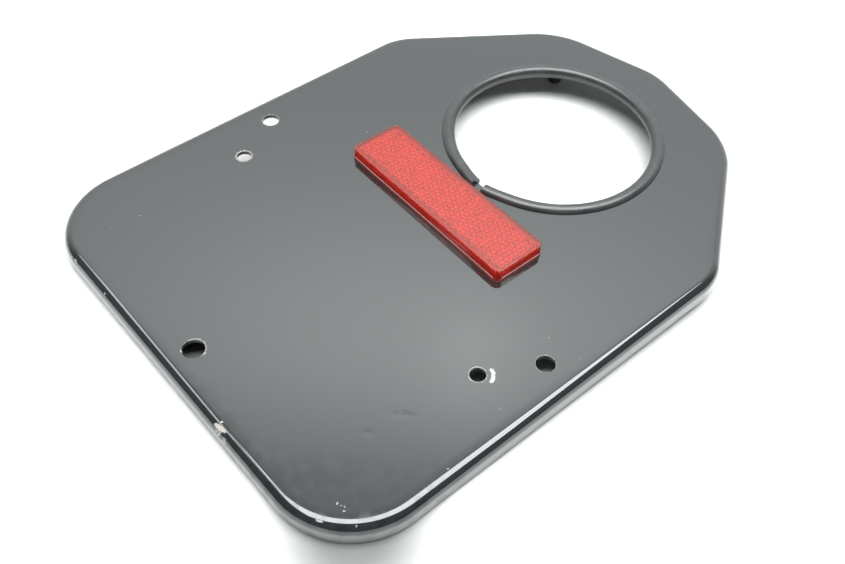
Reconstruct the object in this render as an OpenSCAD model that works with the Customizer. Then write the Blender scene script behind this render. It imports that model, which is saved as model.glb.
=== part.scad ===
// Tail tidy for a motorbike: a pressed number-plate carrier with a lamp opening.
// The plate lies face up. +Z is out of its face, +Y runs from its square end to its pointed end,
// and the origin is under the middle of its outline, level with the ends of the studs.

/* [Backing plate] */
// Width of the plate over its turned-down sides
plate_w = 180; // [170:1:220]
// Length from the square end to the pointed end
plate_l = 241.8; // [236:0.2:280]
// Distance from the pointed end to where the shoulders start
shoulder_drop = 71.1; // [60:0.1:82]
// Distance from the pointed end to where the crown starts
crown_drop = 10.7; // [9:0.1:20]
// Width between the two ends of the crown
crown_w = 96.4; // [80:0.2:130]
// Thickness of the steel sheet
sheet_t = 1.5; // [1:0.1:2]
// Depth of the turned-down edge, from the face
edge_depth = 8; // [6:0.1:9.5]
// Outer radius of the bend between the face and the edge
bend_r = 3.6; // [2.2:0.1:4.5]
// Corner radius at the square end
foot_r = 30; // [12:1:40]
// Corner radius at the shoulders
shoulder_r = 24; // [8:1:40]
// Corner radius at the ends of the crown
crown_r = 35; // [8:1:45]
// Radius of the point of the crown
point_r = 28; // [6:1:45]

/* [Lamp opening] */
// Diameter of the opening in the sheet
lamp_d = 84; // [70:0.5:88]
// Distance from the pointed end to the centre of the opening
lamp_drop = 63.8; // [60:0.1:72]

/* [Fixing holes] */
// Diameter of the two holes of the wide pair
wide_d = 6.5; // [5:0.1:8]
// Distance from the plate's side to a hole of the wide pair
wide_inset = 12.7; // [11:0.1:20]
// Distance from the square end to the wide pair
wide_y = 96; // [90:0.5:104]
// Diameter of the two holes of the narrow pair
narrow_d = 5.5; // [4:0.1:8]
// Distance from the plate's side to a hole of the narrow pair
narrow_inset = 23.6; // [22:0.1:34]
// Distance from the square end to the narrow pair
narrow_y = 76; // [60:0.5:82]
// Diameter of the single hole
single_d = 7.5; // [5:0.1:9]
// Distance from the square end to the single hole
single_y = 11.4; // [9.5:0.1:20]

/* [Studs] */
// Diameter of a stud
stud_d = 6; // [5:0.5:8]
// Length of a stud below the sheet
stud_l = 12; // [10:0.5:25]
// Chamfer at the end of a stud
stud_chamfer = 0.8; // [0.4:0.1:1]
// Distance between the two studs
stud_pitch = 70.6; // [68:0.2:76]
// Distance from the pointed end to the studs
stud_drop = 24.6; // [22:0.2:27]

/* [Edge trim] */
// Outer diameter of the trim's tube
trim_d = 5.3; // [4.6:0.1:6.5]
// Bore of the trim's tube
trim_bore = 2.7; // [2.2:0.1:3.2]
// How far the sheet reaches past the middle of the tube
trim_bite = 0.3; // [0:0.1:0.8]
// Gap between the trim's two ends, along the tube
trim_gap = 4.5; // [1:0.1:8]
// Direction of the gap, seen from above and turning left from +X
trim_gap_angle = -86.1; // [-110:0.1:-70]
// Clearance between the trim's slit and the sheet, on each side
trim_clear = 0.05; // [0.02:0.01:0.15]

/* [Reflector] */
// Length of the reflector
lens_l = 82.5; // [60:0.5:100]
// Width of the reflector
lens_w = 22.4; // [17:0.2:24]
// Height of the lens
lens_h = 4; // [4:0.1:7]
// Corner radius of the reflector
lens_r = 2.6; // [2:0.1:4]
// Chamfer round the top of the lens
lens_chamfer = 0.4; // [0.2:0.05:0.6]
// Wall of the lens round its prisms
lens_wall = 1.6; // [1:0.1:1.8]
// Thickness of the lens above its prisms
lens_skin = 1.5; // [1:0.1:1.8]
// Distance from the centre of the lamp opening to the middle of the reflector
lens_drop = 58.9; // [58.4:0.1:66]
// Offset of the reflector from the centreline
lens_x = 0.9; // [-5:0.1:5]
// Angle at which the reflector was stuck on
lens_angle = -0.6; // [-3:0.1:3]
// Side of one triangular prism base
prism_side = 2.06; // [2:0.02:4]
// Thickness of the cover behind the prisms
back_t = 1; // [0.8:0.1:1.2]
// Clearance between the cover and the lens wall
back_clear = 0.1; // [0.05:0.01:0.3]
// Thickness of the adhesive pad
pad_t = 0.6; // [0.6:0.05:1.5]
// How far the pad stays inside the outline of the lens
pad_inset = 0.5; // [0.2:0.1:2]

/* [Hidden] */
$fn = 96;
cut = 1;
// Overlap with which the prism field runs into the skin of the lens
prism_root = 0.3;
// Angle between the steps of the blank's corner arcs, and between those of its bend
arc_angle = 6;
bend_angle = 11.25;

// Heights, counted from the ends of the studs
under_z = stud_l;
face_z = under_z + sheet_t;
edge_z = face_z - edge_depth;

// The crown's sides meet in a point that its radius then rounds off. The top of that arc lies on
// plate_l, so the sharp point is found from the radius and the slope of the sides.
crown_slope = crown_angle(atan2(crown_drop, crown_w / 2), 0);
point_rise = crown_w / 2 * tan(crown_slope);

// Slope of the crown's sides: the sharp point stands point_r * (1 / cos(slope) - 1) above the arc
function crown_angle(slope, pass) =
    pass == 6 ? slope
    : crown_angle(atan2(crown_drop + point_r * (1 / cos(slope) - 1), crown_w / 2), pass + 1);

// The outline's sharp corners, from the square end and anticlockwise, each as [x, y, radius]
foot_y = -plate_l / 2;
end_y = plate_l / 2;
crown_y = end_y - crown_drop;
corners = [
    [-plate_w / 2, foot_y, foot_r],
    [plate_w / 2, foot_y, foot_r],
    [plate_w / 2, end_y - shoulder_drop, shoulder_r],
    [crown_w / 2, crown_y, crown_r],
    [0, crown_y + point_rise, point_r],
    [-crown_w / 2, crown_y, crown_r],
    [-plate_w / 2, end_y - shoulder_drop, shoulder_r]
];
count = len(corners);

function corner(i) = corners[(i + count) % count];
function place(i) = [corner(i).x, corner(i).y];
function radius(i) = corner(i).z;
function unit(v) = v / norm(v);
// Direction of the side that leaves corner i
function side(i) = unit(place(i + 1) - place(i));
// Angle through which the outline turns at corner i
function turn(i) = acos(side(i - 1) * side(i));
// Centre of the arc that rounds corner i off, on the line that halves the corner
function arc_centre(i) =
    place(i) + unit(side(i) - side(i - 1)) * radius(i) / cos(turn(i) / 2);

// The outline's points in order, each as a centre, the direction out of it and a radius. A ring is
// this outline moved inwards.
outline = [
    for (i = [0 : count - 1])
        let (steps = ceil(turn(i) / arc_angle), first = side(i - 1))
        for (k = [0 : steps])
            let (a = atan2(first.y, first.x) - 90 + turn(i) * k / steps)
            [arc_centre(i), [cos(a), sin(a)], radius(i)]
];
function ring(inset, z) = [
    for (p = outline)
        let (at = p[0] + p[1] * (p[2] - inset))
        [at.x, at.y, z]
];

// Section of the sheet as [inset, height]: down the outside of bend and edge, and up their inside
section = [
    for (a = [90 : -bend_angle : 0])
        [bend_r * (1 - cos(a)), face_z - bend_r * (1 - sin(a))],
    [0, edge_z],
    [sheet_t, edge_z],
    for (a = [0 : bend_angle : 90])
        [bend_r - (bend_r - sheet_t) * cos(a), face_z - bend_r + (bend_r - sheet_t) * sin(a)]
];

// The section drawn round the outline: the flat face, the bend and the turned-down edge in one
module pressed_blank() {
    n = len(outline);
    last = len(section) - 1;
    polyhedron(
        points = [for (s = section) each ring(s.x, s.y)],
        faces = [
            [for (k = [n - 1 : -1 : 0]) k],
            for (m = [0 : last - 1])
                for (k = [0 : n - 1])
                    let (next = (k + 1) % n)
                    [m * n + k, m * n + next, (m + 1) * n + next, (m + 1) * n + k],
            [for (k = [0 : n - 1]) last * n + k]
        ]
    );
}

// The holes that fasten the plate, each as [x, y, diameter]
wide_x = plate_w / 2 - wide_inset;
narrow_x = plate_w / 2 - narrow_inset;
holes = [
    [-wide_x, foot_y + wide_y, wide_d],
    [wide_x, foot_y + wide_y, wide_d],
    [-narrow_x, foot_y + narrow_y, narrow_d],
    [narrow_x, foot_y + narrow_y, narrow_d],
    [0, foot_y + single_y, single_d]
];
lamp_y = end_y - lamp_drop;

module through(d) {
    translate([0, 0, under_z - cut])
        cylinder(d = d, h = sheet_t + 2 * cut);
}

// The pressed sheet: one blank, drawn down at its edge and pierced
module backing_plate() {
    color([0.03, 0.03, 0.035])
        difference() {
            pressed_blank();
            translate([0, lamp_y])
                through(lamp_d);
            for (hole = holes)
                translate([hole.x, hole.y])
                    through(hole.z);
        }
}

// Slit tube that is pushed over the edge of the lamp opening, with its ends left apart
module edge_trim() {
    ring_r = lamp_d / 2 - trim_bite;
    gap_angle = trim_gap / ring_r * 180 / PI;
    color([0.12, 0.12, 0.12])
        translate([0, lamp_y, under_z + sheet_t / 2])
            rotate([0, 0, trim_gap_angle + gap_angle / 2])
                rotate_extrude(angle = 360 - gap_angle)
                    translate([ring_r, 0])
                        difference() {
                            circle(d = trim_d, $fn = 48);
                            circle(d = trim_bore, $fn = 48);
                            translate([0, -sheet_t / 2 - trim_clear])
                                square([trim_d, sheet_t + 2 * trim_clear]);
                        }
}

// Threaded studs that are welded to the back of the sheet
module fixing_studs() {
    color([0.05, 0.05, 0.055])
        for (side = [-1, 1])
            translate([side * stud_pitch / 2, end_y - stud_drop])
                rotate_extrude()
                    polygon([
                        [0, 0],
                        [stud_d / 2 - stud_chamfer, 0],
                        [stud_d / 2, stud_chamfer],
                        [stud_d / 2, under_z],
                        [0, under_z]
                    ]);
}

// Stands a child on the plate where the reflector is, with z = 0 at the plate's face
module at_reflector() {
    translate([lens_x, lamp_y - lens_drop, face_z])
        rotate([0, 0, lens_angle])
            children();
}

module rounded_bar(l, w, r, h) {
    linear_extrude(h) {
        square([l - 2 * r, w], center = true);
        square([l, w - 2 * r], center = true);
        for (x = [-1, 1])
            for (y = [-1, 1])
                translate([x * (l / 2 - r), y * (w / 2 - r)])
                    circle(r, $fn = 48);
    }
}

// Room inside the wall of the lens
room_l = lens_l - 2 * lens_wall;
room_w = lens_w - 2 * lens_wall;
room_r = lens_r - lens_wall;

// A cube corner on a triangle of side a is a / sqrt(6) deep
prism_depth = prism_side / sqrt(6);
row_step = prism_side * sqrt(3) / 2;
rows = floor((room_l - 2 * back_clear) / row_step);
columns = floor((room_w - 2 * back_clear) / prism_side - 0.5);
field_l = rows * row_step;
field_w = (columns + 0.5) * prism_side;

// The lattice: rows lie across the lens, and every second row is shifted by half a side
lattice = [
    for (j = [0 : rows])
        for (i = [0 : columns])
            [j * row_step - field_l / 2, (i + (j % 2) / 2) * prism_side - field_w / 2]
];
function at(i, j) = j * (columns + 1) + i;

// The triangles between row j and the next, anticlockwise from above
cells = [
    for (j = [0 : rows - 1])
        for (i = [0 : columns - 1])
            for (cell = j % 2 == 0
                ? [[at(i, j), at(i, j + 1), at(i + 1, j)],
                   [at(i, j + 1), at(i + 1, j + 1), at(i + 1, j)]]
                : [[at(i, j), at(i + 1, j + 1), at(i + 1, j)],
                   [at(i, j), at(i, j + 1), at(i + 1, j + 1)]])
                cell
];
rim = [
    for (j = [0 : rows]) at(0, j),
    for (i = [1 : columns]) at(i, rows),
    for (j = [rows - 1 : -1 : 0]) at(columns, j),
    for (i = [columns - 1 : -1 : 1]) at(i, 0)
];
lattice_count = len(lattice);
rim_count = len(rim);

// Cube corners side by side: three mirror faces meet below the middle of every triangle
module prism_field() {
    tips = [for (t = cells) (lattice[t[0]] + lattice[t[1]] + lattice[t[2]]) / 3];
    top = lattice_count;
    tip = 2 * lattice_count;
    polyhedron(
        points = [
            for (p = lattice) [p.x, p.y, 0],
            for (p = lattice) [p.x, p.y, prism_root],
            for (p = tips) [p.x, p.y, -prism_depth]
        ],
        faces = [
            for (t = cells) [top + t[2], top + t[1], top + t[0]],
            for (k = [0 : rim_count - 1])
                let (a = rim[k], b = rim[(k + 1) % rim_count])
                [a, top + a, top + b, b],
            for (c = [0 : len(cells) - 1])
                for (k = [0 : 2])
                    [cells[c][k], cells[c][(k + 1) % 3], tip + c]
        ]
    );
}

// Moulded lens: a shell that is open at the back, with cube corners under its skin
module reflector_lens() {
    color([0.75, 0.05, 0.04])
        at_reflector()
            translate([0, 0, pad_t])
                lens_shell();
}

module lens_shell() {
    difference() {
        hull() {
            rounded_bar(lens_l, lens_w, lens_r, lens_h - lens_chamfer);
            rounded_bar(lens_l - 2 * lens_chamfer, lens_w - 2 * lens_chamfer,
                        lens_r - lens_chamfer, lens_h);
        }
        translate([0, 0, -cut])
            rounded_bar(room_l, room_w, room_r, lens_h - lens_skin + cut);
    }
    translate([0, 0, lens_h - lens_skin])
        prism_field();
}

// Flat cover that closes the lens behind its prisms, level with the edge of its wall
module reflector_back() {
    color([0.1, 0.1, 0.1])
        at_reflector()
            translate([0, 0, pad_t])
                rounded_bar(room_l - 2 * back_clear, room_w - 2 * back_clear,
                            room_r - back_clear, back_t);
}

// Foam pad with adhesive on both faces
module adhesive_pad() {
    color([0.05, 0.05, 0.05])
        at_reflector()
            rounded_bar(lens_l - 2 * pad_inset, lens_w - 2 * pad_inset, lens_r - pad_inset, pad_t);
}

backing_plate();
edge_trim();
fixing_studs();
reflector_lens();
reflector_back();
adhesive_pad();
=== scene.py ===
import math

import bmesh
import bpy
from mathutils import Matrix, Vector


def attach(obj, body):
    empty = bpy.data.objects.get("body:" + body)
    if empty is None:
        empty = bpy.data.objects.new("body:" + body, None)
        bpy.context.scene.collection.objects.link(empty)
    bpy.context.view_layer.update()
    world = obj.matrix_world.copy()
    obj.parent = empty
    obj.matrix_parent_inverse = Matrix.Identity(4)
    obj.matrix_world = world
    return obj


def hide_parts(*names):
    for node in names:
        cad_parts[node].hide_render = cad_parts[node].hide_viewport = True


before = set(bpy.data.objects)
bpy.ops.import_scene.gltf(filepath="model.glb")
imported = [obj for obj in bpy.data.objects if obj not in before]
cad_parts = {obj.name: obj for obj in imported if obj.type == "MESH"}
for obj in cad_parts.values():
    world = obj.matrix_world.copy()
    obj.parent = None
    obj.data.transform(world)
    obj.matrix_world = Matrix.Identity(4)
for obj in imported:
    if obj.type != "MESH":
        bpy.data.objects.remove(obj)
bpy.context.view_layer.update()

# The view: the camera stands over the near right corner of the plate and looks down along it
# towards the pointed end, held slightly askew.
MM = 0.001
IMAGE_WIDTH = 845
FOCAL_PIXELS = 999.5
SENSOR_WIDTH = 36
CAMERA_PLACE = Vector((190.9, -185.3, 276.8)) * MM
HEADING, DOWN, ROLL = (math.radians(angle) for angle in (-47.41, 49.52, 2.549))

camera_data = bpy.data.cameras.new("view")
camera_data.sensor_width = SENSOR_WIDTH
camera_data.lens = FOCAL_PIXELS / IMAGE_WIDTH * SENSOR_WIDTH
camera_data.clip_start = 0.01
camera_data.clip_end = 20
camera = bpy.data.objects.new("view", camera_data)
bpy.context.scene.collection.objects.link(camera)
forward = Vector((math.cos(DOWN) * math.sin(HEADING), math.cos(DOWN) * math.cos(HEADING),
                  -math.sin(DOWN)))
level = Vector((math.cos(HEADING), -math.sin(HEADING), 0))
upright = level.cross(forward)
right = level * math.cos(ROLL) + upright * math.sin(ROLL)
up = upright * math.cos(ROLL) - level * math.sin(ROLL)
camera.matrix_world = (Matrix.Translation(CAMERA_PLACE)
                       @ Matrix((right, up, -forward)).transposed().to_4x4())
bpy.context.scene.camera = camera
bpy.context.scene.view_settings.view_transform = "Standard"

# The backing plate: one sheet of 1.5 mm steel, cut to its outline, pressed to a shallow tray with
# a turned-down edge, pierced for the lamp and the screws, and painted gloss black.
PLATE_W, PLATE_L = 180 * MM, 241.8 * MM
SHEET = 1.5 * MM
FACE_Z = 13.5 * MM
EDGE_Z = 5.5 * MM
BEND_R = 3.6 * MM
END_Y = PLATE_L / 2
SHOULDER_Y = END_Y - 71.1 * MM
CROWN_X, CROWN_Y = 48.2 * MM, END_Y - 10.7 * MM
# Where the two sides of the crown would meet if their corner weren't round
POINT_Y = 121.715 * MM
FOOT_R, SHOULDER_R, CROWN_R, POINT_R = 30 * MM, 24 * MM, 35 * MM, 28 * MM
# Each corner of the flat outline, anticlockwise from the square end's left: x, y and radius
CORNERS = [
    (-PLATE_W / 2, -END_Y, FOOT_R),
    (PLATE_W / 2, -END_Y, FOOT_R),
    (PLATE_W / 2, SHOULDER_Y, SHOULDER_R),
    (CROWN_X, CROWN_Y, CROWN_R),
    (0, POINT_Y, POINT_R),
    (-CROWN_X, CROWN_Y, CROWN_R),
    (-PLATE_W / 2, SHOULDER_Y, SHOULDER_R),
]
LAMP_Y = END_Y - 63.8 * MM
LAMP_R = 42 * MM
WIDE_X, WIDE_Y, WIDE_R = 77.3 * MM, -24.9 * MM, 3.25 * MM
NARROW_X, NARROW_Y, NARROW_R = 66.4 * MM, -44.9 * MM, 2.75 * MM
SINGLE_Y, SINGLE_R = -109.5 * MM, 3.75 * MM
HOLES = [
    (-WIDE_X, WIDE_Y, WIDE_R),
    (WIDE_X, WIDE_Y, WIDE_R),
    (-NARROW_X, NARROW_Y, NARROW_R),
    (NARROW_X, NARROW_Y, NARROW_R),
    (0, SINGLE_Y, SINGLE_R),
]
RIM_ROUND, SHEARED_ROUND = 0.22 * MM, 0.3 * MM
# Points that are nearer than this count as the same
NEAR = 0.02 * MM


def alone(piece):
    """Makes piece the one object that the next operators act on."""
    bpy.ops.object.select_all(action="DESELECT")
    piece.select_set(True)
    bpy.context.view_layer.objects.active = piece


def start(name, add, stretch=(1, 1, 1), **sizes):
    """Adds a primitive as the start of a piece, bakes its turn and scale, and opens it for editing."""
    bpy.ops.object.select_all(action="DESELECT")
    add(**sizes)
    piece = bpy.context.object
    piece.scale = stretch
    piece.name = piece.data.name = name
    bpy.ops.object.transform_apply(location=True, rotation=True, scale=True)
    bpy.ops.object.mode_set(mode="EDIT")
    return piece


def middle(part):
    """The middle of a vertex, edge or face."""
    if isinstance(part, bmesh.types.BMVert):
        return part.co.copy()
    return sum((vert.co for vert in part.verts), Vector()) / len(part.verts)


def choose(piece, kind, wanted):
    """In edit mode, selects just the vertices, edges or faces for which wanted is true."""
    bpy.ops.mesh.select_mode(type=kind)
    bpy.ops.mesh.select_all(action="DESELECT")
    mesh = bmesh.from_edit_mesh(piece.data)
    for part in {"VERT": mesh.verts, "EDGE": mesh.edges, "FACE": mesh.faces}[kind]:
        if wanted(part):
            part.select_set(True)
    bmesh.update_edit_mesh(piece.data)


def modify(piece, kind, **settings):
    """Adds a modifier to a piece and applies it."""
    alone(piece)
    modifier = piece.modifiers.new(kind.title(), kind)
    for name, value in settings.items():
        setattr(modifier, name, value)
    bpy.ops.object.modifier_apply(modifier=modifier.name)


def soften(piece, angle):
    """Shades a piece smooth over every edge that is flatter than angle, large faces first."""
    alone(piece)
    bpy.ops.object.shade_smooth_by_angle(angle=math.radians(angle))
    modify(piece, "WEIGHTED_NORMAL", keep_sharp=True)


def close_to(a, b):
    return abs(a - b) < NEAR


plate = start("plate", bpy.ops.mesh.primitive_plane_add, size=1,
              location=(0, (POINT_Y - END_Y) / 2, EDGE_Z), stretch=(PLATE_W, POINT_Y + END_Y, 1))
# The four slanting sides are cut off the rectangle
for here in range(2, 6):
    first, second = Vector(CORNERS[here][:2]), Vector(CORNERS[here + 1][:2])
    side = second - first
    bpy.ops.mesh.select_all(action="SELECT")
    bpy.ops.mesh.bisect(plane_co=(first.x, first.y, 0), plane_no=(side.y, -side.x, 0),
                        clear_outer=True, threshold=1e-7)
for here, (x, y, radius) in enumerate(CORNERS):
    before = Vector(CORNERS[here - 1][:2]) - Vector((x, y))
    after = Vector(CORNERS[(here + 1) % len(CORNERS)][:2]) - Vector((x, y))
    turn = math.pi - before.angle(after)
    choose(plate, "VERT", lambda v, x=x, y=y: (v.co.xy - Vector((x, y))).length < 0.1 * MM)
    # A bevel's profile that passes through the middle of the round arc
    flatness = math.tan(turn / 4) / math.sin(turn / 2)
    bpy.ops.mesh.bevel(affect="VERTICES", offset_type="OFFSET", offset=radius * math.tan(turn / 2),
                       segments=max(8, round(math.degrees(turn) / 3)),
                       profile=(1 - flatness / 2) ** 2)

# The edge is turned down from the flat face in a bend that starts gently: the width and the slope
# in degrees of each strip between the bend and the face
RUN_IN = ((0.4 * MM, 3.2), (1.2 * MM, 1.6), (1.4 * MM, 0.7))
BEND_STEPS = 14
BEND_END = 85
run_in_rise = sum(width * math.tan(math.radians(slope)) for width, slope in RUN_IN)
wall_top = FACE_Z - run_in_rise - BEND_R * math.sin(math.radians(BEND_END))
choose(plate, "FACE", lambda f: True)
bpy.ops.mesh.extrude_region_move(TRANSFORM_OT_translate={"value": (0, 0, wall_top - EDGE_Z)})
turned, risen = 0, 0
for step in range(1, BEND_STEPS + 1):
    angle = math.radians(BEND_END * step / BEND_STEPS)
    inwards, upwards = BEND_R * (1 - math.cos(angle)), BEND_R * math.sin(angle)
    bpy.ops.mesh.inset(thickness=inwards - turned, depth=upwards - risen, use_even_offset=True)
    turned, risen = inwards, upwards
for width, slope in RUN_IN:
    bpy.ops.mesh.inset(thickness=width, depth=width * math.tan(math.radians(slope)),
                       use_even_offset=True)
choose(plate, "FACE", lambda f: close_to(middle(f).z, EDGE_Z) and abs(f.normal.z) > 0.9)
bpy.ops.mesh.delete(type="FACE")
bpy.ops.mesh.select_all(action="SELECT")
bpy.ops.mesh.normals_make_consistent(inside=False)
bpy.ops.object.mode_set(mode="OBJECT")
modify(plate, "SOLIDIFY", thickness=SHEET, offset=-1, use_even_offset=True)

bpy.ops.object.select_all(action="DESELECT")
punches = []
for x, y, radius in [(0, LAMP_Y, LAMP_R)] + HOLES:
    bpy.ops.mesh.primitive_cylinder_add(vertices=180 if radius == LAMP_R else 64, radius=radius,
                                        depth=6 * MM, location=(x, y, FACE_Z - SHEET / 2))
    punches.append(bpy.context.object)
alone(punches[0])
for punch in punches:
    punch.select_set(True)
bpy.ops.object.join()
punch = bpy.context.object
modify(plate, "BOOLEAN", operation="DIFFERENCE", solver="EXACT", object=punch)
bpy.data.objects.remove(punch)

# The paint rounds off the pierced holes and the sheared edge
alone(plate)
bpy.ops.object.mode_set(mode="EDIT")


def on_rim(edge):
    if not all(close_to(vert.co.z, FACE_Z) for vert in edge.verts):
        return False
    return any(all(close_to((vert.co.xy - Vector((x, y))).length, radius) for vert in edge.verts)
               for x, y, radius in HOLES)


choose(plate, "EDGE", on_rim)
bpy.ops.mesh.bevel(affect="EDGES", offset=RIM_ROUND, segments=3)
choose(plate, "EDGE", lambda e: all(close_to(vert.co.z, EDGE_Z) for vert in e.verts)
       and e.calc_face_angle(0) > 1)
bpy.ops.mesh.bevel(affect="EDGES", offset=SHEARED_ROUND, segments=3)
bpy.ops.object.mode_set(mode="OBJECT")
soften(plate, 35)

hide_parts("backing_plate")
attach(plate, "root")


class Wire:
    """A shader socket that can be used in Python expressions: each operator adds its Math node."""

    def __init__(self, tree, socket):
        self.tree = tree
        self.socket = socket

    def math(self, operation, *others):
        return self.tree.node("Math", {"operation": operation}, dict(enumerate((self,) + others)))

    def __add__(self, other):
        return self.math("ADD", other)

    def __radd__(self, other):
        return self.math("ADD", other)

    def __sub__(self, other):
        return self.math("SUBTRACT", other)

    def __rsub__(self, other):
        return self.tree.node("Math", {"operation": "SUBTRACT"}, {0: other, 1: self})

    def __mul__(self, other):
        return self.math("MULTIPLY", other)

    def __rmul__(self, other):
        return self.math("MULTIPLY", other)

    def __truediv__(self, other):
        return self.math("DIVIDE", other)


class Nodes:
    """A node tree to which node() adds everything."""

    def __init__(self, tree):
        self.nodes = tree.nodes
        self.links = tree.links

    def node(self, kind, settings, sockets, output=0):
        """Adds a node with its settings, then its sockets' values or links, and returns an output."""
        node = self.nodes.new("ShaderNode" + kind)
        for name, value in settings.items():
            setattr(node, name, value)
        for name, value in sockets.items():
            self.join(value, node.inputs[name])
        return Wire(self, node.outputs[output])

    def join(self, value, socket):
        if isinstance(value, Wire):
            self.links.new(value.socket, socket)
        else:
            socket.default_value = value

    def step(self, value, low, high):
        """0 at low, 1 at high and a smooth rise between them. Low may be above high."""
        return self.node("MapRange", {"interpolation_type": "SMOOTHSTEP"},
                         {"Value": value, "From Min": low, "From Max": high})

    def blend(self, factor, a, b):
        """Colour a where factor is 0, and colour b where it is 1."""
        return self.node("Mix", {"data_type": "RGBA"}, {0: factor, 6: a, 7: b}, 2)


class Finish(Nodes):
    """A material whose nodes feed one Principled shader."""

    def __init__(self, name, **sockets):
        self.material = bpy.data.materials.new(name)
        self.material.use_nodes = True
        super().__init__(self.material.node_tree)
        self.shader = self.nodes["Principled BSDF"]
        self.feed(**sockets)

    def feed(self, **sockets):
        """Sets or links the Principled shader's sockets, given with _ for a space."""
        for name, value in sockets.items():
            self.join(value, self.shader.inputs[name.replace("_", " ")])

    def place(self):
        """The place on the part in millimetres, as three wires."""
        point = self.node("TexCoord", {}, {}, "Object")
        axes = self.node("SeparateXYZ", {}, {0: point})
        return tuple(Wire(self, axis) * (1 / MM) for axis in axes.socket.node.outputs)

    def noise(self, scale, detail=2, shift=0):
        """Smooth noise from 0 to 1 with features about 1 / scale metres wide."""
        point = self.node("TexCoord", {}, {}, "Object")
        moved = self.node("VectorMath", {"operation": "ADD"}, {0: point, 1: (shift, shift, shift)})
        return self.node("TexNoise", {}, {"Vector": moved, "Scale": scale, "Detail": detail})

    def bump(self, height, depth):
        """A normal for a height from 0 to 1 that stands for depth in millimetres."""
        return self.node("Bump", {}, {"Height": height, "Distance": depth * MM})


def rgb(red, green, blue):
    return (red, green, blue, 1)


BLACK, MOTTLED_BLACK = rgb(0.013, 0.0155, 0.0165), rgb(0.008, 0.01, 0.011)
BARE_STEEL, SCRAPED_STEEL = rgb(0.42, 0.42, 0.41), rgb(0.4, 0.36, 0.315)
# How far the outline of a mark strays, in millimetres
RAGGED = 1.4
paint = Finish("gloss_black_paint", IOR=1.5, Coat_IOR=1.5)
x, y, z = paint.place()
straying = paint.node("VectorMath", {"operation": "SCALE"}, {
    0: paint.node("TexNoise", {}, {"Vector": paint.node("TexCoord", {}, {}, "Object"),
                                   "Scale": 1100, "Detail": 3}, "Color"), "Scale": RAGGED})
strayed = paint.node("VectorMath", {"operation": "ADD"}, {
    0: paint.node("CombineXYZ", {}, {"X": x - RAGGED / 2, "Y": y - RAGGED / 2}), 1: straying})
ragged_place = paint.node("VectorMath", {"operation": "MULTIPLY"}, {0: strayed, 1: (1, 1, 0)})


def mark(here_x, here_y, length, width=None, heading=0, soft=0.35):
    """1 inside an oval on the face and 0 outside it. The sizes are in millimetres."""
    oval = paint.node("Mapping", {"vector_type": "TEXTURE"}, {
        "Vector": ragged_place, "Location": (here_x, here_y, 0),
        "Rotation": (0, 0, math.radians(heading)),
        "Scale": (length / 2, (width or length) / 2, 1)})
    reach = paint.node("VectorMath", {"operation": "LENGTH"}, {0: oval}, "Value")
    return paint.step(reach, 1 + soft, 1 - soft)


def most(wires):
    """The highest of several wires."""
    highest = wires[0]
    for wire in wires[1:]:
        highest = highest.math("MAXIMUM", wire)
    return highest


# Bare steel at the rims of the two pairs of holes: how wide and how strong each ring is
RIM_WEAR = [(0.3, 0.3), (0.2, 0.35), (0.6, 0.5), (0.4, 0.5)]
rings = [mark(hole_x / MM, hole_y / MM, 2 * (radius / MM + width), soft=0.05) * strength
         for (hole_x, hole_y, radius), (width, strength) in zip(HOLES, RIM_WEAR)]
# On the single hole only the side towards the face's middle is bare, with two chips
rings.append(mark(0, -109.3, 8.3, soft=0.05) * paint.step(y, -109.6, -108.9) * 0.4)
rings.append(mark(3.6, -108.0, 1.6, 0.9, 60) * 0.8)
rings.append(mark(-1.5, -112.9, 1.0) * 0.8)
# The crescent where a washer has cut the paint, and the chips on the edge
narrow_hole = (NARROW_X / MM, NARROW_Y / MM)
crescent = (mark(*narrow_hole, 11.2, soft=0.05) * (1 - mark(*narrow_hole, 8.8, soft=0.05))
            * mark(69.8, -41.6, 5.6, 4, -45, soft=0.15))
on_face = paint.step(z, 12.4, 12.9)
steel = most([
    most(rings + [crescent]) * on_face,
    mark(-59.6, -120.2, 1.8, 0.5), mark(-62.6, -120.2, 0.5),
    mark(-39.6, -119.8, 0.7, 0.5), mark(74.9, -114.7, 2, 0.5, 30), mark(82.8, -107.5, 0.5),
])
# Small pale specks where the paint holds dust or has blistered
specks = most([
    mark(*speck) for speck in (
        (74.0, -107.5, 0.55), (75.2, -107.0, 0.4), (76.3, -106.4, 0.35), (77.2, -107.4, 0.5),
        (-63.5, -92.4, 0.35), (-65.2, -103.3, 0.35), (-47.7, 0.6, 0.5), (52.4, 29, 0.35),
        (70.6, -16.6, 0.35), (83.1, -14.9, 0.35), (85.9, -75.1, 0.35), (80.4, -48.4, 0.35))
]) * on_face
# A scraped patch on the bend of the square end, with runs down the edge
runs = paint.node("TexNoise", {}, {
    "Vector": paint.node("CombineXYZ", {}, {"X": x, "Y": z * 0.12}), "Scale": 1.7, "Detail": 3})
scrape = most([
    mark(30.4, -119.3, 5.2, 1.3, 8, soft=0.15), mark(29.4, -117.9, 0.7),
    mark(32.4, -121.3, 7, 2.6, soft=0.3) * paint.step(runs, 0.5, 0.58)
    * paint.step(z, 6.0, 9.5),
])
bare = most([steel, specks * 0.55, scrape]) * paint.step(z, 5.9, 6.4)
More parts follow.
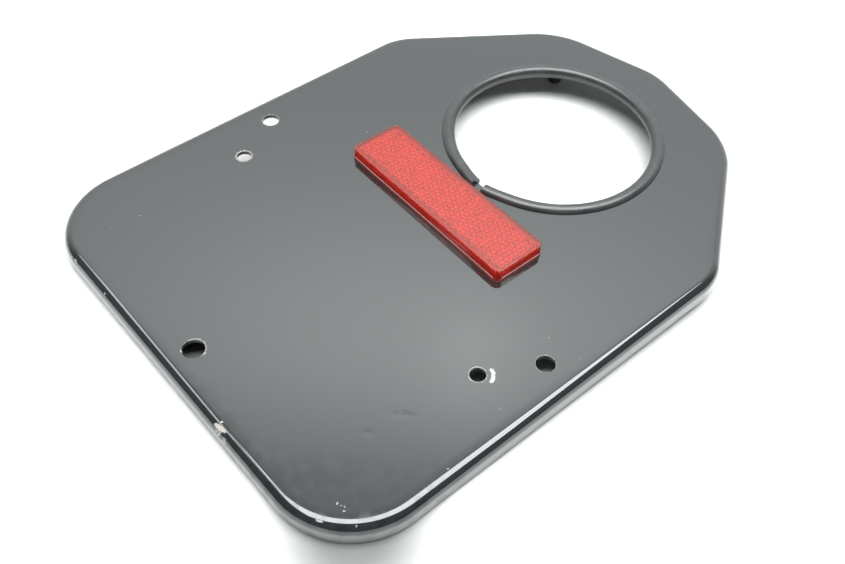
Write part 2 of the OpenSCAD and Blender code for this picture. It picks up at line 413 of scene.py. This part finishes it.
# Two shallow dents, orange peel, and an uneven darker, duller mottling towards the near corner
dents = most([mark(63, -73.1, 5.6, 2, 47, soft=0.9), mark(61, -85.7, 3.4, 2, 47, soft=0.9) * 0.6])
peel = paint.noise(160, 2, shift=5)
near_corner = paint.step(0 - y, 108, 119) * paint.step(x, -30, 60) + paint.step(x - y, 150, 178)
mottle = near_corner.math("MINIMUM", 1) * paint.step(paint.noise(240, 4, shift=2), 0.42, 0.66)
haze = paint.step(paint.noise(34, 3, shift=9), 0.4, 0.75)
paint.feed(
    Base_Color=paint.blend(bare, paint.blend(mottle, BLACK, MOTTLED_BLACK),
                           paint.blend(scrape, BARE_STEEL, SCRAPED_STEEL)),
    Metallic=steel * 0.5,
    Roughness=0.06 + haze * 0.03 + mottle * 0.1 + bare * 0.4,
    Coat_Weight=1 - bare.math("MAXIMUM", mottle * 0.35),
    Normal=paint.bump(peel + dents * -6 - bare * 2, 0.012),
)
plate.data.materials.clear()
plate.data.materials.append(paint.material)

# The edge trim: a length of slit rubber tube, pushed over the edge of the lamp opening. Its two
# ends are cut square and stay a few millimetres apart.
TRIM_R, TRIM_BORE_R = 2.65 * MM, 1.35 * MM
RING_R = 41.7 * MM
RING_Z = FACE_Z - SHEET / 2
SLIT = SHEET / 2 + 0.05 * MM
TRIM_GAP = 4.5 * MM
GAP_HEADING = math.radians(-86.1)
TRIM_SIDES, TRIM_STEPS = 48, 150
# The lips of the slit are rounded, and the two ends spring outwards over a short length
LIP_ROUND = 0.3 * MM
SPRING, SPRING_LENGTH = 0.6 * MM, 12 * MM
RUBBER, BLOOMED_RUBBER = rgb(0.021, 0.022, 0.023), rgb(0.034, 0.035, 0.036)

trim = start("trim", bpy.ops.mesh.primitive_circle_add, vertices=TRIM_SIDES, radius=TRIM_R,
             fill_type="NGON", location=(RING_R, LAMP_Y, RING_Z), rotation=(math.pi / 2, 0, 0))
bpy.ops.mesh.select_all(action="SELECT")
bpy.ops.mesh.inset(thickness=TRIM_R - TRIM_BORE_R, use_even_offset=True)
bpy.ops.mesh.delete(type="FACE")
for height in (-SLIT, SLIT):
    bpy.ops.mesh.select_all(action="SELECT")
    bpy.ops.mesh.bisect(plane_co=(0, 0, RING_Z + height), plane_no=(0, 0, 1), threshold=1e-7)
choose(trim, "FACE", lambda f: abs(middle(f).z - RING_Z) < SLIT and middle(f).x > RING_R)
bpy.ops.mesh.delete(type="FACE")
choose(trim, "VERT", lambda v: close_to(abs(v.co.z - RING_Z), SLIT) and v.co.x > RING_R + 2 * MM)
bpy.ops.mesh.bevel(affect="VERTICES", offset=LIP_ROUND, segments=3)
half_gap = TRIM_GAP / RING_R / 2
bpy.ops.mesh.select_all(action="SELECT")
bpy.ops.transform.rotate(value=-(GAP_HEADING + half_gap), orient_axis="Z",
                         center_override=(0, LAMP_Y, 0))
bpy.ops.mesh.select_all(action="SELECT")
bpy.ops.mesh.spin(steps=TRIM_STEPS, angle=2 * math.pi - 2 * half_gap, center=(0, LAMP_Y, 0),
                  axis=(0, 0, -1))
bpy.ops.mesh.select_all(action="SELECT")
bpy.ops.mesh.remove_doubles(threshold=1e-6)
bpy.ops.mesh.normals_make_consistent(inside=False)
for side in (-1, 1):
    end = GAP_HEADING + side * half_gap
    outwards = Vector((math.cos(end), math.sin(end), 0))
    sideways = Vector((-outwards.y, outwards.x, 0)) * side
    choose(trim, "VERT", lambda v: outwards.dot(v.co - Vector((0, LAMP_Y, 0))) > 0
           and abs(sideways.dot(v.co - Vector((0, LAMP_Y, 0)))) < 0.1 * MM)
    bpy.ops.transform.translate(value=outwards * SPRING, use_proportional_edit=True,
                                proportional_edit_falloff="SMOOTH",
                                proportional_size=SPRING_LENGTH)
bpy.ops.object.mode_set(mode="OBJECT")
soften(trim, 40)
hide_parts("edge_trim")
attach(trim, "root")

rubber = Finish("trim_rubber", IOR=1.66)
grain = rubber.noise(5200, 2)
bloom = rubber.step(rubber.noise(130, 4, shift=3), 0.35, 0.7)
scuff = rubber.step(rubber.noise(420, 3, shift=8), 0.58, 0.72)
rubber.feed(
    Base_Color=rubber.blend(bloom, RUBBER, BLOOMED_RUBBER),
    Roughness=0.31 + bloom * 0.06 + scuff * 0.1,
    Normal=rubber.bump(grain, 0.015),
)
trim.data.materials.clear()
trim.data.materials.append(rubber.material)

# The fixing studs: two M6 studs, welded to the back of the sheet and painted with it. Each has a
# plain foot in a ring of weld, and a thread that is chamfered at its end.
STUD_X, STUD_Y = 35.3 * MM, END_Y - 24.6 * MM
STUD_R, CORE_R, PITCH = 3 * MM, 2.46 * MM, 1 * MM
STUD_TOP = FACE_Z - SHEET
SHANK_R, SHANK = 2.75 * MM, 1.8 * MM
SHANK_OVERLAP, SHANK_ROUND = 0.3 * MM, 0.2 * MM
CHAMFER = 0.8 * MM
WELD_R, WELD_H, WELD_ROUND = 3.7 * MM, 0.9 * MM, 0.5 * MM
# The thread is swept past both ends of the stud and then cut to length
TURNS, SPARE_TURNS = 15, 1.5
SLIVER = 0.01 * MM
PAINTED_STUD, RUBBED_STUD = rgb(0.022, 0.023, 0.024), rgb(0.3, 0.3, 0.29)
# One turn of the thread's outline: height as a share of the pitch, and radius
THREAD = [(0, CORE_R), (0.125, CORE_R), (0.4375, STUD_R), (0.5625, STUD_R), (0.875, CORE_R),
          (1, CORE_R)]


def joined(piece, other, operation):
    """Unites a piece with another solid, or cuts it down to it."""
    modify(piece, "BOOLEAN", operation=operation, solver="EXACT", object=other)
    bpy.data.objects.remove(other)


def cylinder(radius, bottom, top, rim):
    """An upright cylinder on the stud's axis whose lower rim is bevelled."""
    solid = start("cylinder", bpy.ops.mesh.primitive_cylinder_add, vertices=48, radius=radius,
                  depth=top - bottom, location=(0, 0, (bottom + top) / 2))
    choose(solid, "EDGE", lambda e: all(close_to(v.co.z, bottom) for v in e.verts))
    bpy.ops.mesh.bevel(affect="EDGES", offset=rim, segments=2)
    bpy.ops.object.mode_set(mode="OBJECT")
    return solid


stud = start("stud_left", bpy.ops.mesh.primitive_plane_add, size=1, stretch=(STUD_R, PITCH, 1),
             location=(STUD_R / 2, 0, PITCH / 2), rotation=(math.pi / 2, 0, 0))
bpy.ops.mesh.select_all(action="SELECT")
bpy.ops.mesh.delete(type="ONLY_FACE")
choose(stud, "VERT", lambda v: v.co.x < STUD_R / 2)
bpy.ops.mesh.delete(type="VERT")
bpy.ops.mesh.select_all(action="SELECT")
bpy.ops.mesh.subdivide(number_cuts=len(THREAD) - 2)
for place, (share, radius) in reversed(list(enumerate(THREAD))):
    height = place / (len(THREAD) - 1) * PITCH
    choose(stud, "VERT", lambda v, height=height: close_to(v.co.z, height)
           and close_to(v.co.x, STUD_R))
    bpy.ops.transform.translate(value=(radius - STUD_R - 1e-7, 0, share * PITCH - height))
bpy.ops.object.mode_set(mode="OBJECT")
modify(stud, "SCREW", axis="Z", screw_offset=PITCH, iterations=TURNS, steps=36, render_steps=36,
       use_merge_vertices=True, merge_threshold=1e-7)
alone(stud)
bpy.ops.object.mode_set(mode="EDIT")
bpy.ops.mesh.select_all(action="SELECT")
bpy.ops.transform.translate(value=(0, 0, -SPARE_TURNS * PITCH))
for height, keeps_above in ((0, True), (STUD_TOP - SHANK, False)):
    bpy.ops.mesh.select_all(action="SELECT")
    bpy.ops.mesh.bisect(plane_co=(0, 0, height), plane_no=(0, 0, 1), use_fill=True,
                        clear_inner=keeps_above, clear_outer=not keeps_above, threshold=1e-7)
bpy.ops.mesh.select_all(action="SELECT")
bpy.ops.mesh.normals_make_consistent(inside=False)
bpy.ops.object.mode_set(mode="OBJECT")
below_end = 0.1 * MM
joined(stud, cylinder(STUD_R + SLIVER, -below_end, STUD_TOP, CHAMFER + below_end), "INTERSECT")
joined(stud, cylinder(SHANK_R, STUD_TOP - SHANK - SHANK_OVERLAP, STUD_TOP, SHANK_ROUND), "UNION")
joined(stud, cylinder(WELD_R, STUD_TOP - WELD_H, STUD_TOP - SLIVER, WELD_ROUND), "UNION")
alone(stud)
bpy.ops.object.mode_set(mode="EDIT")
bpy.ops.mesh.select_all(action="SELECT")
bpy.ops.transform.translate(value=(-STUD_X, STUD_Y, 0))
bpy.ops.object.mode_set(mode="OBJECT")
soften(stud, 30)

stud_paint = Finish("stud_steel", IOR=1.5, Coat_Roughness=0.15)
x, y, z = stud_paint.place()
rubbed = stud_paint.step(z + stud_paint.noise(700, 3) * 1.4, 1.6, 0.5)
thin = stud_paint.step(stud_paint.noise(900, 4, shift=4), 0.56, 0.68)
stud_paint.feed(
    Base_Color=stud_paint.blend(rubbed.math("MAXIMUM", thin * 0.25), PAINTED_STUD, RUBBED_STUD),
    Metallic=rubbed * 0.8,
    Roughness=0.32 + thin * 0.2,
    Coat_Weight=0.3 - rubbed * 0.3,
    Normal=stud_paint.bump(stud_paint.noise(2600, 3), 0.02),
)
stud.data.materials.clear()
stud.data.materials.append(stud_paint.material)
alone(stud)
bpy.ops.object.duplicate()
partner = bpy.context.object
partner.name = partner.data.name = "stud_right"
bpy.ops.object.mode_set(mode="EDIT")
bpy.ops.mesh.select_all(action="SELECT")
bpy.ops.transform.translate(value=(2 * STUD_X, 0, 0))
bpy.ops.object.mode_set(mode="OBJECT")
for piece in (stud, partner):
    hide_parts("fixing_studs")
    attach(piece, "root")

# The adhesive pad: a rectangle of black closed-cell foam, sticky on both faces, that holds the
# reflector on the sheet. It was stuck on a little askew.
LENS_X, LENS_Y = 0.9 * MM, LAMP_Y - 58.9 * MM
LENS_TURN = math.radians(-0.6)
LENS_L, LENS_W, LENS_H, LENS_R = 82.5 * MM, 22.4 * MM, 4 * MM, 2.6 * MM
PAD_T, PAD_INSET, PAD_ROUND = 0.6 * MM, 0.5 * MM, 0.12 * MM
FOAM_WALL, FOAM_CELL = rgb(0.009, 0.009, 0.009), rgb(0.024, 0.024, 0.024)


def bar(name, length, width, radius, bottom, top):
    """A flat bar with round corners, in the middle of the part and left open for editing."""
    piece = start(name, bpy.ops.mesh.primitive_cube_add, size=1,
                  stretch=(length, width, top - bottom), location=(0, 0, (bottom + top) / 2))
    choose(piece, "EDGE", lambda e: abs(e.verts[0].co.z - e.verts[1].co.z) > 0.1 * MM)
    bpy.ops.mesh.bevel(affect="EDGES", offset=radius, segments=8)
    return piece


def stick_on(piece):
    """Moves a piece from the middle of the part to the reflector's place, in edit mode."""
    bpy.ops.mesh.select_all(action="SELECT")
    bpy.ops.transform.rotate(value=-LENS_TURN, orient_axis="Z", center_override=(0, 0, 0))
    bpy.ops.transform.translate(value=(LENS_X, LENS_Y, 0))
    bpy.ops.object.mode_set(mode="OBJECT")


pad = bar("pad", LENS_L - 2 * PAD_INSET, LENS_W - 2 * PAD_INSET, LENS_R - PAD_INSET, FACE_Z,
          FACE_Z + PAD_T)
choose(pad, "EDGE", lambda e: close_to(e.verts[0].co.z, e.verts[1].co.z)
       and e.calc_face_angle(0) > 1)
bpy.ops.mesh.bevel(affect="EDGES", offset=PAD_ROUND, segments=2)
stick_on(pad)
soften(pad, 35)
foam = Finish("pad_foam")
cells = foam.node("TexVoronoi", {"feature": "F1"}, {
    "Vector": foam.node("TexCoord", {}, {}, "Object"), "Scale": 5500}, "Distance")
foam.feed(
    Base_Color=foam.blend(foam.step(cells, 0.2, 0.7), FOAM_WALL, FOAM_CELL),
    Roughness=0.75 + foam.noise(800, 2) * 0.15,
    Normal=foam.bump(cells, 0.05),
)
pad.data.materials.append(foam.material)
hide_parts("adhesive_pad")
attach(pad, "root")

# The reflector's cover: a flat plate of black plastic inside the wall of the lens, which closes
# the air gap behind the prisms.
WALL, COVER_T = 1.6 * MM, 1 * MM
COVER_PLAY, COVER_ROUND = 0.1 * MM, 0.1 * MM
LENS_Z = FACE_Z + PAD_T
COVER_BLACK, WORN_COVER = rgb(0.045, 0.045, 0.046), rgb(0.06, 0.059, 0.058)

inset = WALL + COVER_PLAY
cover = bar("cover", LENS_L - 2 * inset, LENS_W - 2 * inset, LENS_R - inset, LENS_Z,
            LENS_Z + COVER_T)
choose(cover, "EDGE", lambda e: close_to(e.verts[0].co.z, e.verts[1].co.z)
       and e.calc_face_angle(0) > 1)
bpy.ops.mesh.bevel(affect="EDGES", offset=COVER_ROUND, segments=2)
stick_on(cover)
soften(cover, 35)
plastic = Finish("back_plastic", IOR=1.5)
etched = plastic.noise(3800, 3)
worn = plastic.step(plastic.noise(120, 3, shift=6), 0.4, 0.7)
plastic.feed(
    Base_Color=plastic.blend(worn, COVER_BLACK, WORN_COVER),
    Roughness=0.36 + worn * 0.1,
    Normal=plastic.bump(etched, 0.02),
)
cover.data.materials.append(plastic.material)
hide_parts("reflector_back")
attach(cover, "root")

# The reflector's lens: one moulding in clear red plastic, with a plain rim and, under its smooth
# face, a field of cube corners that throws light back.
SKIN, LENS_ROUND = 1.5 * MM, 0.45 * MM
CEILING = LENS_Z + LENS_H - SKIN
PRISM = 2.06 * MM
PRISM_ROWS, PRISM_COLUMNS = 44, 8
PRISM_DEPTH = PRISM / math.sqrt(6)
ROW = PRISM * math.sqrt(3) / 2
ROOT, ROOT_START = 0.3 * MM, 0.02 * MM
# The bead of weld that stands out round the foot
BEAD, BEAD_H = 0.28 * MM, 0.4 * MM
CLEAR_RED = rgb(1, 0.16, 0.12)
# The prisms' colours are painted light: pink for the light they throw back, dark for the room they
# show at their tips
PRISM_PAINTED_PINK, PRISM_PAINTED_DARK = rgb(0.7, 0.27, 0.2), rgb(0.34, 0.035, 0.03)
WALL_RED, GLINT = rgb(1, 0.03, 0.016), rgb(1, 0.55, 0.18)
BEAD_DULL, BEAD_PALE_SHEEN = rgb(0.42, 0.13, 0.12), rgb(0.5, 0.3, 0.28)


def outside(face):
    """Whether a face stands on the lens's outer wall, in the middle of the part."""
    place = middle(face)
    return abs(face.normal.z) < 0.3 and (abs(place.x) > LENS_L / 2 - WALL + 0.1 * MM
                                         or abs(place.y) > LENS_W / 2 - WALL + 0.1 * MM)


lens = bar("lens", LENS_L, LENS_W, LENS_R, LENS_Z, LENS_Z + LENS_H)
choose(lens, "EDGE", lambda e: all(close_to(v.co.z, LENS_Z + LENS_H) for v in e.verts)
       and e.calc_face_angle(0) > 1)
bpy.ops.mesh.bevel(affect="EDGES", offset=LENS_ROUND, segments=3)
choose(lens, "FACE", lambda f: close_to(middle(f).z, LENS_Z))
bpy.ops.mesh.inset(thickness=WALL, depth=0, use_even_offset=True)
bpy.ops.mesh.extrude_region_move(TRANSFORM_OT_translate={"value": (0, 0, CEILING - LENS_Z)})
bpy.ops.mesh.select_all(action="SELECT")
bpy.ops.mesh.bisect(plane_co=(0, 0, LENS_Z + BEAD_H), plane_no=(0, 0, 1), threshold=1e-7)
choose(lens, "FACE", lambda f: outside(f) and middle(f).z < LENS_Z + BEAD_H)
bpy.ops.mesh.extrude_region_shrink_fatten(
    MESH_OT_extrude_region={"use_normal_flip": False},
    TRANSFORM_OT_shrink_fatten={"value": BEAD, "use_even_offset": True})
bpy.ops.object.mode_set(mode="OBJECT")

# Four pyramids are one step of the field: two that point each way along the lens, in two rows
field_x, field_y = -PRISM_ROWS * ROW / 2, -(PRISM_COLUMNS + 0.5) * PRISM / 2
field = None
for row, shift, turn in ((1 / 3, 0.5, 0), (2 / 3, 1, math.pi), (4 / 3, 1, 0), (5 / 3, 0.5, math.pi)):
    bpy.ops.object.select_all(action="DESELECT")
    bpy.ops.mesh.primitive_cone_add(
        vertices=3, radius1=PRISM / math.sqrt(3), radius2=0, depth=PRISM_DEPTH,
        end_fill_type="NOTHING", rotation=(math.pi, 0, turn + math.pi / 2),
        location=(field_x + row * ROW, field_y + shift * PRISM,
                  CEILING - ROOT_START - PRISM_DEPTH / 2))
    if field:
        field.select_set(True)
        bpy.context.view_layer.objects.active = field
        bpy.ops.object.join()
    field = bpy.context.object
alone(field)
bpy.ops.object.transform_apply(location=True, rotation=True, scale=True)
for count, offset in ((PRISM_COLUMNS, (0, PRISM, 0)), (PRISM_ROWS // 2, (2 * ROW, 0, 0))):
    modify(field, "ARRAY", count=count, use_relative_offset=False, use_constant_offset=True,
           constant_offset_displace=offset)
alone(field)
bpy.ops.object.mode_set(mode="EDIT")
bpy.ops.mesh.select_all(action="SELECT")
bpy.ops.mesh.remove_doubles(threshold=SLIVER)
choose(field, "EDGE", lambda e: e.is_boundary)
bpy.ops.mesh.extrude_region_move(TRANSFORM_OT_translate={"value": (0, 0, ROOT)})
bpy.ops.mesh.edge_face_add()
bpy.ops.mesh.select_all(action="SELECT")
bpy.ops.mesh.normals_make_consistent(inside=False)
bpy.ops.object.mode_set(mode="OBJECT")
joined(lens, field, "UNION")

red = Finish("lens_red", IOR=1.49)
film = red.step(red.noise(260, 4, shift=7), 0.42, 0.75)
scratch = red.node("TexNoise", {}, {
    "Vector": red.node("Mapping", {}, {"Vector": red.node("TexCoord", {}, {}, "Object"),
                                       "Rotation": (0, 0, 0.6), "Scale": (260, 5200, 800)}),
    "Scale": 1, "Detail": 2})
red.feed(
    Base_Color=CLEAR_RED,
    Roughness=0.02 + film * 0.05,
    Transmission_Weight=0.88,
    Normal=red.bump(red.step(scratch, 0.68, 0.8), 0.002),
)
# The prisms, opaque and painted: pink for the light that their cube corners throw back, and darker at
# their tips, a painted reflection of the dark side of the room
prism_red = Finish("lens_prisms")
x, y, z = prism_red.place()
painted_dark_tips = prism_red.step(z, (CEILING - PRISM_DEPTH * 0.45) / MM, (CEILING - PRISM_DEPTH * 0.7) / MM)
prism_red.feed(
    Base_Color=prism_red.blend(painted_dark_tips, PRISM_PAINTED_PINK, PRISM_PAINTED_DARK),
    Roughness=0.3 + prism_red.noise(1500, 2) * 0.1,
    Normal=prism_red.bump(prism_red.noise(2500, 2), 0.01),
)
# The inside of the wall, where the ends of the rows of prisms glint
GLINT_STEP = 1.03
wall_red = Finish("lens_wall")
x, y, z = wall_red.place()
glints = (x * (2 * math.pi / GLINT_STEP)).math("SINE") + (z * 3.1).math("SINE") * 0.2
glint = (wall_red.step(glints, 0.25, 0.8)
         * wall_red.step(z, (CEILING - 0.9 * MM) / MM, (CEILING - 0.5 * MM) / MM))
wall_red.feed(
    Base_Color=wall_red.blend(glint, WALL_RED, GLINT),
    Roughness=0.4 + wall_red.noise(900, 3) * 0.2,
    Normal=wall_red.bump(wall_red.noise(1800, 2), 0.01),
)
# The bead's paler pink is partly whitened plastic and partly a painted highlight along the foot
weld = Finish("lens_weld")
weld.feed(
    Base_Color=weld.blend(weld.noise(1100, 3), BEAD_DULL, BEAD_PALE_SHEEN),
    Roughness=0.4 + weld.noise(1700, 2, shift=1) * 0.2,
    Normal=weld.bump(weld.noise(1500, 3), 0.03),
)


def on_prism(face):
    return -0.8 < face.normal.z < -0.3 and middle(face).z < CEILING


def in_hollow(face):
    """Whether a face is on the inside of the wall."""
    place = middle(face)
    return (abs(face.normal.z) < 0.3 and LENS_Z < place.z < CEILING
            and (close_to(abs(place.x), LENS_L / 2 - WALL)
                 or close_to(abs(place.y), LENS_W / 2 - WALL)
                 or (abs(place.x) > LENS_L / 2 - WALL - LENS_R and not outside(face))))


def on_bead(face):
    """Whether a face is on the bead, but not on its underside."""
    place = middle(face)
    return (NEAR < abs(place.z - LENS_Z) and place.z < LENS_Z + BEAD_H + NEAR
            and (abs(place.x) > LENS_L / 2 + NEAR or abs(place.y) > LENS_W / 2 + NEAR))


lens.data.materials.clear()
for finish in (red, prism_red, wall_red, weld):
    lens.data.materials.append(finish.material)
alone(lens)
bpy.ops.object.mode_set(mode="EDIT")
for slot, wanted in ((1, on_prism), (2, in_hollow), (3, on_bead)):
    choose(lens, "FACE", wanted)
    lens.active_material_index = slot
    bpy.ops.object.material_slot_assign()
stick_on(lens)
soften(lens, 30)
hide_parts("reflector_lens")
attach(lens, "root")

# The studio: a white table that the square end's edge and the studs rest on, a large soft light
# overhead and a small one to the left, and a pale room.
TABLE_SIZE = 6
TABLE_WHITE, TABLE_SEEN = rgb(0.8, 0.8, 0.8), rgb(0.72, 0.72, 0.715)
TABLE_SHADE = rgb(0.2, 0.2, 0.196)
SHADOW_X, SHADOW_Y = 82, -108
foot = Vector((0, -END_Y, EDGE_Z))
ends = Vector((0, STUD_Y, 0))
tilt = math.atan2(foot.z - ends.z, ends.y - foot.y)
bpy.ops.object.select_all(action="DESELECT")
bpy.ops.mesh.primitive_plane_add(size=TABLE_SIZE, location=ends, rotation=(-tilt, 0, 0))
table = bpy.context.object
table.name = "table"
white = Finish("table_white", Roughness=1.0)
seen = white.node("LightPath", {}, {}, "Is Camera Ray")
mirrored = white.node("LightPath", {}, {}, "Is Glossy Ray")
through = white.node("LightPath", {}, {}, "Is Transmission Ray")
showing = seen.math("MAXIMUM", mirrored).math("MAXIMUM", through)
x, y, z = white.place()
# The table's own middle is between the studs
y = y + STUD_Y / MM
# Deep shade under the square end, which the single hole shows
shade = (white.step((x + 4).math("ABSOLUTE"), 16, 6)
         * white.step((y + 105).math("ABSOLUTE"), 12, 5))
# The plate's own soft shadow on the table in front of its near corner
from_shadow = white.node("VectorMath", {"operation": "DISTANCE"}, {
    0: white.node("CombineXYZ", {}, {"X": x, "Y": y}), 1: (SHADOW_X, SHADOW_Y, 0)}, "Value")
shadow = white.step(from_shadow, 36, 6) * seen
chalk = white.node("BsdfDiffuse", {}, {
    "Color": white.blend(showing, TABLE_WHITE,
                         white.blend(shade.math("MAXIMUM", shadow), TABLE_SEEN, TABLE_SHADE))})
# Daylight that reaches under the plate's left side and shows through the screw holes there
daylight = (white.step(x, -58, -84) * white.step(x, -110, -95)
            * white.step((y + 30).math("ABSOLUTE"), 60, 30))
glowing = white.node("Emission", {}, {"Color": rgb(1, 1, 1), "Strength": 1.0})
lit = white.node("MixShader", {}, {0: daylight * showing, 1: chalk, 2: glowing})
white.links.new(lit.socket, white.nodes["Material Output"].inputs["Surface"])
table.data.materials.append(white.material)

LAMP_COLOUR = (0.96, 0.99, 1)
LAMP_HEADING = 34


def softbox(name, place, size, heading, radiance):
    """A flat lamp that faces down. The second of its sizes runs along heading, in degrees."""
    data = bpy.data.lights.new(name, "AREA")
    data.shape = "RECTANGLE"
    data.size, data.size_y = size
    data.energy = radiance * math.pi * size[0] * size[1]
    data.color = LAMP_COLOUR
    lamp = bpy.data.objects.new(name, data)
    lamp.location = place
    lamp.rotation_euler = (0, 0, -math.radians(heading))
    lamp.visible_camera = False
    bpy.context.scene.collection.objects.link(lamp)


softbox("ceiling", (0.11, 0.12, 1), (0.63, 1.4), LAMP_HEADING, 9.5)
softbox("left", (-0.753, -0.432, 1), (0.5, 0.32), LAMP_HEADING, 5)

# The room: a pale wall behind the plate with the glow of a lamp on it, and dark on this side
ROOM_WHITE, ROOM_TINT = rgb(1, 1, 1), rgb(0.955, 1, 0.99)
ROOM_DARK, WALL_HEADING = 0.2, -47
world = bpy.data.worlds.new("room")
bpy.context.scene.world = world
world.use_nodes = True
room = Nodes(world.node_tree)
direction = room.node("TexCoord", {}, {}, "Generated")


def along(vector):
    """How far the world's direction points along a vector."""
    return room.node("VectorMath", {"operation": "DOT_PRODUCT"}, {0: direction, 1: vector}, "Value")


def heading_vector(heading, height):
    a, e = math.radians(heading), math.radians(height)
    return Vector((math.cos(e) * math.sin(a), math.cos(e) * math.cos(a), math.sin(e)))


def glow(heading, height, radiance, width, above, below):
    """A soft bright place on the wall. Its width and its reach above and below are in radians."""
    centre = heading_vector(heading, height)
    upwards = along(heading_vector(heading, height + 90))
    across = along(heading_vector(heading + 90, 0)) / width
    reach = room.step(upwards, -0.01, 0.01) * (above - below) + below
    down = upwards / reach
    return (room.step(along(centre), 0, 0.2) * radiance
            * (0 - across * across - down * down).math("EXPONENT"))


light = (ROOM_DARK + room.step(along(heading_vector(WALL_HEADING, 0)), 0.15, 0.62)
         + glow(WALL_HEADING, 53.5, 1.7, 0.34, 0.12, 0.17) + glow(-42, 53, 0.5, 0.05, 0.08, 0.05))
camera_ray = room.node("LightPath", {}, {}, "Is Camera Ray")
strength = camera_ray + (1 - camera_ray) * light
room.join(strength, room.nodes["Background"].inputs["Strength"])
room.join(room.blend(camera_ray, ROOM_TINT, ROOM_WHITE), room.nodes["Background"].inputs["Color"])
